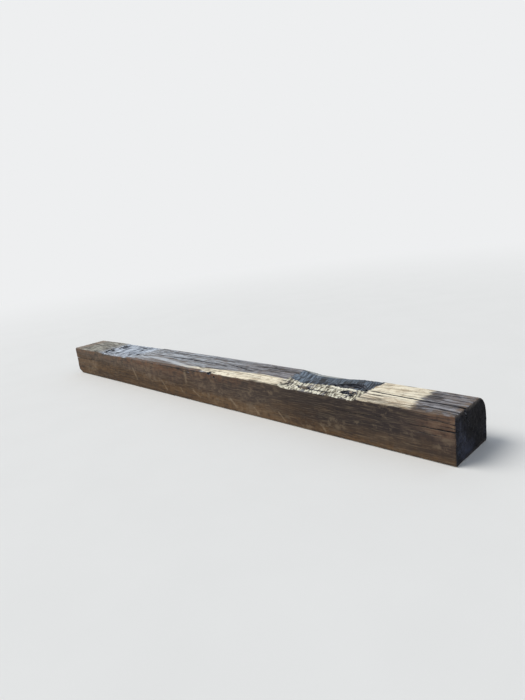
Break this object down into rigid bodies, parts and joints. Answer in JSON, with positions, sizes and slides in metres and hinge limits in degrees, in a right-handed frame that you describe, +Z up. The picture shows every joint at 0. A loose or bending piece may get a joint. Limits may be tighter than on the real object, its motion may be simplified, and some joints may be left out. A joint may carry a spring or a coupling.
{
  "type": "timber railway sleeper",
  "caption": "Used creosoted timber railway sleeper with adzed rail seats, worn spike holes, drying checks and the round of the log along one upper edge.",
  "frame": {"origin": "under the middle of the timber, on the bed face that rests on the ballast or the floor", "axes": "+X along the timber towards its near end, which has the deeper worn rail seat; +Y across it, towards the edge with the wane; +Z up, out of the face with the rail seats"},
  "size_m": [2.75, 0.25, 0.18],
  "materials": {
    "creosoted_timber": "old creosoted softwood, matte: dark brown sides, a weathered grey top, pale crumbled wood in the near seat and a blue-black end"
  },
  "bodies": {
    "root": {"sleeper": "creosoted_timber"}
  },
  "joints": []
}
